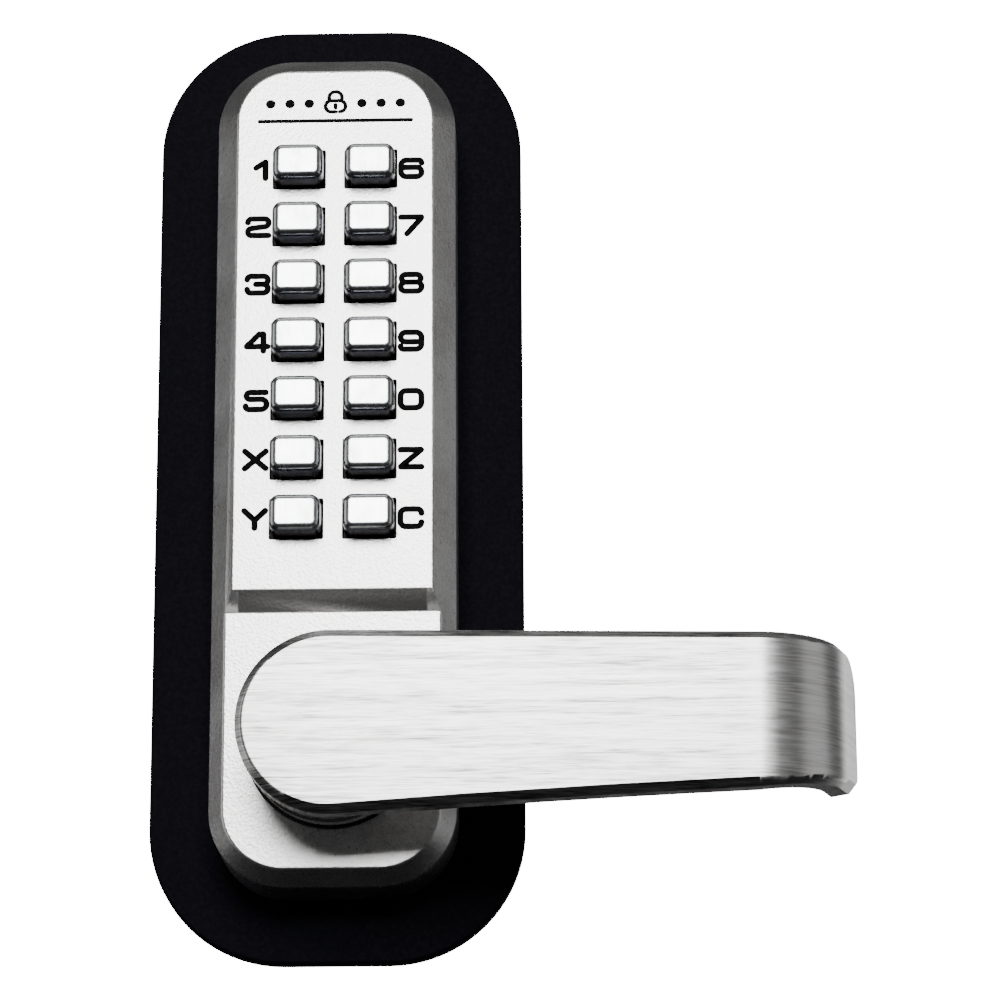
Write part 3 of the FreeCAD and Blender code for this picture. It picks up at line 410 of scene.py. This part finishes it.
SHARP_LEGENDS = {"1", "4", "7", "x", "y", "z"}
LEGEND_WIDE = 4.32 * MM
LEGEND_HIGH = 3.68 * MM
LEGEND_STROKE = 0.65 * MM
LEGEND_BEND = 1.15 * MM
LEGEND_ACROSS = 16.0 * MM
LEGEND_PROUD = 0.04 * MM
SHARP_BEND = 0.05 * MM
NO_BEND = 0.01 * MM


def stroke_tree():
    """Geometry Nodes tree: paths of edges become flat strokes with rounded bends and round ends."""
    tree = bpy.data.node_groups.new("filled_stroke", "GeometryNodeTree")
    interface = tree.interface
    interface.new_socket("Geometry", in_out="INPUT", socket_type="NodeSocketGeometry")
    for name in ("Stroke Radius", "Bend Radius", "Height", "Face"):
        interface.new_socket(name, in_out="INPUT", socket_type="NodeSocketFloat")
    interface.new_socket("Paint", in_out="INPUT", socket_type="NodeSocketMaterial")
    interface.new_socket("Geometry", in_out="OUTPUT", socket_type="NodeSocketGeometry")
    nodes, links = tree.nodes, tree.links
    given = nodes.new("NodeGroupInput").outputs
    path = nodes.new("GeometryNodeMeshToCurve")
    links.new(given["Geometry"], path.inputs[0])
    rounded = nodes.new("GeometryNodeFilletCurve")
    rounded.mode = "POLY"
    rounded.inputs["Count"].default_value = 8
    rounded.inputs["Limit Radius"].default_value = True
    links.new(path.outputs[0], rounded.inputs["Curve"])
    links.new(given["Bend Radius"], rounded.inputs["Radius"])
    pen = nodes.new("GeometryNodeCurvePrimitiveCircle")
    pen.inputs["Resolution"].default_value = 16
    links.new(given["Stroke Radius"], pen.inputs["Radius"])
    line = nodes.new("GeometryNodeCurveToMesh")
    line.inputs["Fill Caps"].default_value = True
    links.new(rounded.outputs[0], line.inputs["Curve"])
    links.new(pen.outputs[0], line.inputs["Profile Curve"])
    ends = nodes.new("GeometryNodeCurveEndpointSelection")
    tip = nodes.new("GeometryNodeMeshUVSphere")
    tip.inputs["Segments"].default_value = 20
    tip.inputs["Rings"].default_value = 10
    links.new(given["Stroke Radius"], tip.inputs["Radius"])
    caps = nodes.new("GeometryNodeInstanceOnPoints")
    links.new(rounded.outputs[0], caps.inputs["Points"])
    links.new(ends.outputs[0], caps.inputs["Selection"])
    links.new(tip.outputs[0], caps.inputs["Instance"])
    joined = nodes.new("GeometryNodeJoinGeometry")
    links.new(line.outputs[0], joined.inputs[0])
    links.new(caps.outputs[0], joined.inputs[0])
    solid = nodes.new("GeometryNodeRealizeInstances")
    links.new(joined.outputs[0], solid.inputs[0])
    # Flatten the round strokes to the height of the paint and bring them up to the face.
    squeeze = nodes.new("ShaderNodeMath")
    squeeze.operation = "DIVIDE"
    links.new(given["Height"], squeeze.inputs[0])
    links.new(given["Stroke Radius"], squeeze.inputs[1])
    scale = nodes.new("ShaderNodeCombineXYZ")
    scale.inputs["X"].default_value = 1.0
    scale.inputs["Z"].default_value = 1.0
    links.new(squeeze.outputs[0], scale.inputs["Y"])
    move = nodes.new("ShaderNodeCombineXYZ")
    links.new(given["Face"], move.inputs["Y"])
    flat = nodes.new("GeometryNodeTransform")
    links.new(solid.outputs[0], flat.inputs["Geometry"])
    links.new(scale.outputs[0], flat.inputs["Scale"])
    links.new(move.outputs[0], flat.inputs["Translation"])
    smooth = nodes.new("GeometryNodeSetShadeSmooth")
    links.new(flat.outputs[0], smooth.inputs["Geometry"])
    paint = nodes.new("GeometryNodeSetMaterial")
    links.new(smooth.outputs[0], paint.inputs["Geometry"])
    links.new(given["Paint"], paint.inputs["Material"])
    links.new(paint.outputs[0], nodes.new("NodeGroupOutput").inputs[0])
    return tree


def draw_strokes(name, strokes, tree, stroke, bend, face):
    """Run the stroke tree on paths given in X and Z and keep the result as a plain mesh."""
    data = bpy.data.meshes.new(name + "_paths")
    points = []
    edges = []
    for stroke_points in strokes:
        closed = stroke_points[0] == stroke_points[-1]
        fresh = stroke_points[:-1] if closed else stroke_points
        first = len(points)
        points += [(across, 0.0, up) for across, up in fresh]
        edges += [(first + number, first + number + 1) for number in range(len(fresh) - 1)]
        if closed:
            edges.append((first + len(fresh) - 1, first))
    data.from_pydata(points, edges, [])
    paths = bpy.data.objects.new(name + "_paths", data)
    bpy.context.scene.collection.objects.link(paths)
    run = paths.modifiers.new("strokes", "NODES")
    run.node_group = tree
    given = {"Stroke Radius": stroke, "Bend Radius": bend, "Height": LEGEND_PROUD, "Face": face,
             "Paint": PAINT}
    for item in tree.interface.items_tree:
        if item.item_type == "SOCKET" and item.in_out == "INPUT" and item.name in given:
            run[item.identifier] = given[item.name]
    graph = bpy.context.evaluated_depsgraph_get()
    graph.update()
    mesh = bpy.data.meshes.new_from_object(paths.evaluated_get(graph))
    bpy.data.objects.remove(paths)
    piece = bpy.data.objects.new(name, mesh)
    bpy.context.scene.collection.objects.link(piece)
    return piece


def make_legends():
    """The filled legend beside each key, all standing a hair proud of the housing's upper face."""
    tree = stroke_tree()
    rounds = {True: SHARP_BEND, False: LEGEND_BEND}
    groups = {True: [], False: []}
    for side, names in ((-1, LEFT_KEYS), (1, RIGHT_KEYS)):
        for name in names:
            low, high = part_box("key_" + name)
            middle = (low.z + high.z) / 2
            left = side * LEGEND_ACROSS - LEGEND_WIDE / 2
            bottom = middle - LEGEND_HIGH / 2
            for points in LEGENDS[name]:
                placed = [(left + across * LEGEND_WIDE, bottom + up * LEGEND_HIGH) for across, up in points]
                groups[name in SHARP_LEGENDS].append(placed)
    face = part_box("front_housing")[0].y
    for is_sharp, strokes in groups.items():
        title = "legends_straight" if is_sharp else "legends_round"
        piece = draw_strokes(title, strokes, tree, LEGEND_STROKE, rounds[is_sharp], face)
        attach(piece, "case")
    make_header(tree, face)


# Rule, padlock sign and dots above the keys.
RULE_OVER_KEYS = 5.9 * MM
RULE_HALF_WIDE = 16.0 * MM
SIGN_OVER_RULE = 3.9 * MM
SIGN_STROKE = 0.42 * MM
SIGN_BEND = 1.2 * MM
PADLOCK_HALF_WIDE = 2.1 * MM
PADLOCK_BOTTOM = -1.9 * MM
PADLOCK_TOP = 0.6 * MM
SHACKLE_HALF_WIDE = 1.35 * MM
SHACKLE_TOP = 2.6 * MM
KEYHOLE = (-0.3 * MM, -1.0 * MM)
DOT_RADIUS = 1.0 * MM
DOT_PLACES = (1.5 * 3.7 * MM, 2.6 * 3.7 * MM, 3.7 * 3.7 * MM)
DOT_HALF_LENGTH = 0.05 * MM


def make_header(tree, face):
    """A plain rule with a padlock sign and dots above the keys."""
    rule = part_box("key_1")[1].z + RULE_OVER_KEYS
    sign = rule + SIGN_OVER_RULE
    wide, narrow = PADLOCK_HALF_WIDE, SHACKLE_HALF_WIDE
    bottom, top, arch = sign + PADLOCK_BOTTOM, sign + PADLOCK_TOP, sign + SHACKLE_TOP
    strokes = [
        [(-RULE_HALF_WIDE, rule), (RULE_HALF_WIDE, rule)],
        [(0, bottom), (wide, bottom), (wide, top), (-wide, top), (-wide, bottom), (0, bottom)],
        [(-narrow, top), (-narrow, arch), (narrow, arch), (narrow, top)],
        [(0, sign + level) for level in KEYHOLE],
    ]
    piece = draw_strokes("header_sign", strokes, tree, SIGN_STROKE, SIGN_BEND, face)
    dots = []
    for place in DOT_PLACES:
        for across in (-place, place):
            dots.append([(across - DOT_HALF_LENGTH, sign), (across + DOT_HALF_LENGTH, sign)])
    beads = draw_strokes("header_dots", dots, tree, DOT_RADIUS, NO_BEND, face)
    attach(beads, "case")
    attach(piece, "case")


# ---------------------------------------------------------------- studio

def plain(name, colour, rough, glow=0.0):
    """Nearly even finish for the studio, glowing white if asked."""
    finish = Finish(name, Roughness=rough)
    finish.colour(finish.blend(finish.noise(6), colour, tuple(part * 0.98 for part in colour[:3]) + (1.0,)))
    if glow:
        finish.shader.inputs["Emission Color"].default_value = (1, 1, 1, 1)
        finish.shader.inputs["Emission Strength"].default_value = glow
    return finish.material


def sheet_of(name, corners, material):
    """One flat staged sheet through four corners."""
    data = bpy.data.meshes.new(name)
    data.from_pydata(corners, [], [(0, 1, 2, 3)])
    data.materials.append(material)
    thing = bpy.data.objects.new(name, data)
    bpy.context.scene.collection.objects.link(thing)
    return thing


def panel(name, place, aim, wide, high, radiance):
    """Soft light panel as bright as its radiance says."""
    light = bpy.data.lights.new(name, "AREA")
    light.shape = "RECTANGLE"
    light.size = wide
    light.size_y = high
    light.energy = radiance * math.pi * wide * high
    thing = bpy.data.objects.new(name, light)
    thing.location = place
    thing.rotation_euler = (Vector(aim) - Vector(place)).to_track_quat("-Z", "Y").to_euler()
    bpy.context.scene.collection.objects.link(thing)
    return thing


# Studio sizes, in metres.
FLOOR_DROP = 0.42
FLOOR_REACH = 2.5
WALL_BACK = 0.9
WALL_TOP = 2.6
WALL_GLOW = 16.0
FLAG_DROP = 0.2
FLAG_REACH = 0.7
FLAG_FRONT = -1.3
FLAG_BACK = 0.2
AMBIENT = 0.06


def level_sheet(name, reach, front, back, level, material):
    """Rectangle lying at a level, as wide as its reach on either side."""
    corners = [(-reach, front, level), (reach, front, level), (reach, back, level), (-reach, back, level)]
    return sheet_of(name, corners, material)


def make_studio():
    """Pale floor, glowing backdrop, dark flag under the lock, and soft panels round it."""
    lowest = cad_bounds[0][2]
    ground = lowest - FLOOR_DROP
    pale = plain("pale_floor", (0.85, 0.85, 0.85, 1.0), 0.9)
    white = plain("white_wall", (0.9, 0.9, 0.9, 1.0), 0.9, WALL_GLOW)
    black = plain("black_flag", (0.004, 0.004, 0.005, 1.0), 1.0)
    level_sheet("floor", FLOOR_REACH, -FLOOR_REACH, WALL_BACK, ground, pale)
    corners = [(-FLOOR_REACH, WALL_BACK, ground), (FLOOR_REACH, WALL_BACK, ground),
               (FLOOR_REACH, WALL_BACK, WALL_TOP), (-FLOOR_REACH, WALL_BACK, WALL_TOP)]
    wall = sheet_of("backdrop", corners, white)
    wall.visible_glossy = False
    wall.visible_diffuse = False
    flag = level_sheet("flag", FLAG_REACH, FLAG_FRONT, FLAG_BACK, lowest - FLAG_DROP, black)
    flag.visible_camera = False
    centre = (0.02, 0.0, 0.0)
    panel("front_panel", (0.01, -1.33, 0.465), centre, 0.62, 0.64, radiance=12.5)
    panel("top_panel", (0.0, -0.3, 1.2), centre, 1.0, 0.6, radiance=0.8)
    panel("left_panel", (-1.26, -0.31, 0.1), centre, 0.8, 1.2, radiance=0.75)
    panel("right_panel", (1.26, -0.31, 0.1), centre, 0.8, 1.2, radiance=0.42)
    panel("far_right_panel", (0.75, 0.85, 0.12), centre, 0.5, 0.9, radiance=1.2)
    world = bpy.data.worlds.new("studio")
    world.use_nodes = True
    sky = world.node_tree.nodes["Background"].inputs
    sky["Color"].default_value = (1, 1, 1, 1)
    sky["Strength"].default_value = AMBIENT
    bpy.context.scene.world = world


LENS_LENGTH = 139.97
SENSOR_WIDTH = 36.0
NEAREST_SEEN = 0.02
CAMERA_PLACE = (0.05013, -0.78826, -0.2313)
CAMERA_PITCH = 0.2816
CAMERA_YAW = -0.0208
CAMERA_ROLL = -0.0055


def make_camera():
    """Long lens, from a little below and in front of the lock, looking up at it."""
    lens = bpy.data.cameras.new("camera")
    lens.lens = LENS_LENGTH
    lens.sensor_width = SENSOR_WIDTH
    lens.clip_start = NEAREST_SEEN
    camera = bpy.data.objects.new("camera", lens)
    bpy.context.scene.collection.objects.link(camera)
    pitch, yaw, roll = CAMERA_PITCH, CAMERA_YAW, CAMERA_ROLL
    ahead = Vector((math.sin(yaw) * math.cos(pitch), math.cos(yaw) * math.cos(pitch), math.sin(pitch)))
    across = Vector((math.cos(yaw), -math.sin(yaw), 0.0))
    upward = across.cross(ahead)
    right = math.cos(roll) * across + math.sin(roll) * upward
    top = math.cos(roll) * upward - math.sin(roll) * across
    turned = camera.matrix_world.copy()
    for axis, direction in enumerate((right, top, -ahead)):
        for part in range(3):
            turned[part][axis] = direction[part]
    turned.translation = Vector(CAMERA_PLACE)
    camera.matrix_world = turned
    bpy.context.scene.camera = camera


def make_lock():
    """Finish the carried-over nodes, swap the visible ones for smooth copies, and add the legends."""
    dress_nodes()
    refined("front_housing", 30.0)
    refined("backing_plate", 30.0)
    refined("lever_handle", 24.0)
    refined("lever_bushing", 30.0)
    refined("lever_seal", 30.0, 0.25 * MM)
    refined("spindle", 30.0, 0.2 * MM)
    refined("mounting_posts", 30.0)
    for name in LEFT_KEYS + RIGHT_KEYS:
        refined("key_" + name, 40.0)
    make_legends()


make_camera()
make_studio()
make_lock()
